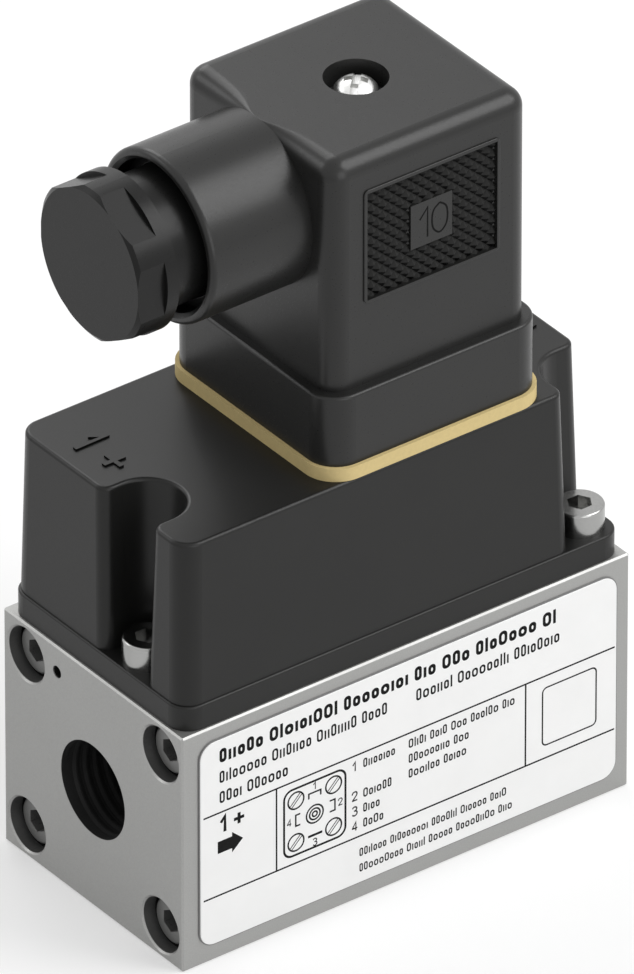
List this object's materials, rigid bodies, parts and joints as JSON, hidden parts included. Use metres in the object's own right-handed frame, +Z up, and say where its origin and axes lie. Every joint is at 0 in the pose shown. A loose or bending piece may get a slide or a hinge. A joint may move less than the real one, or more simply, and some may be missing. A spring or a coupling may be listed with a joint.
{
  "type": "differential pressure transmitter",
  "caption": "Metal block with opposed threaded ports around a pressure cell, a moulded electronics housing on top, and a square plug-on cable connector with a blind gland cap.",
  "frame": {"origin": "centre of the metal block's underside, midway between its port faces and between its broad faces", "axes": "+X from the first port face to the second, -Y out of the face with the rating label, +Z up from the underside through the housing to the connector"},
  "size_m": [0.0601, 0.0322, 0.092],
  "materials": {
    "block_metal": "fine blasted, clear coated",
    "housing_plastic": "fine textured black moulding",
    "connector_plastic": "satin black glass-filled moulding",
    "gland_plastic": "satin black moulding",
    "carrier_plastic": "black moulding",
    "screw_steel": "bright turned stainless steel",
    "contact_metal": "tin plated",
    "brass": "turned",
    "gasket_rubber": "matt tan sheet",
    "seal_rubber": "matt black",
    "cell_ceramic": "sintered white ceramic",
    "flex_film": "amber film",
    "socket_plastic": "cream moulding",
    "board_laminate": "green solder mask",
    "chip_plastic": "black epoxy",
    "can_metal": "drawn can",
    "label_film": "white printed film"
  },
  "bodies": {
    "transmitter": {"p1_block": "block_metal", "p2_block": "block_metal", "block_screws": "screw_steel", "sensing_cell": "cell_ceramic", "cell_seals": "seal_rubber", "cell_flex": "flex_film", "flex_socket": "socket_plastic", "rating_label": "label_film", "housing": "housing_plastic", "housing_screws": "screw_steel", "housing_seal": "seal_rubber", "circuit_board": "board_laminate", "board_spacers": "brass", "board_screws": "screw_steel", "processor_chip": "chip_plastic", "voltage_regulator": "chip_plastic", "capacitors": "can_metal", "plug_base": "carrier_plastic", "base_screws": "screw_steel", "plug_pins": "contact_metal", "earth_pin": "contact_metal", "pin_wires": "contact_metal", "threaded_insert": "brass", "flat_gasket": "gasket_rubber"},
    "connector": {"connector_cover": "connector_plastic", "contact_carrier": "carrier_plastic", "contact_clips": "contact_metal", "earth_clip": "contact_metal", "terminal_screws": "screw_steel", "gland_seal": "seal_rubber", "gland_washer": "carrier_plastic", "well_seal": "seal_rubber"},
    "gland": {"gland_cap": "gland_plastic"},
    "retainer": {"retaining_screw": "screw_steel"}
  },
  "joints": [
    {"name": "connector_slide", "type": "slide", "parent": "transmitter", "child": "connector", "axis": [0, 0, 1], "range_m": [0, 0.03]},
    {"name": "gland_cap_turn", "type": "hinge", "parent": "connector", "child": "gland", "pos_m": [-0.0213, 0, 0.082], "axis": [-1, 0, 0], "continuous": true},
    {"name": "retaining_screw_turn", "type": "hinge", "parent": "connector", "child": "retainer", "pos_m": [0.0052, 0, 0.0893], "axis": [0, 0, 1], "continuous": true}
  ]
}
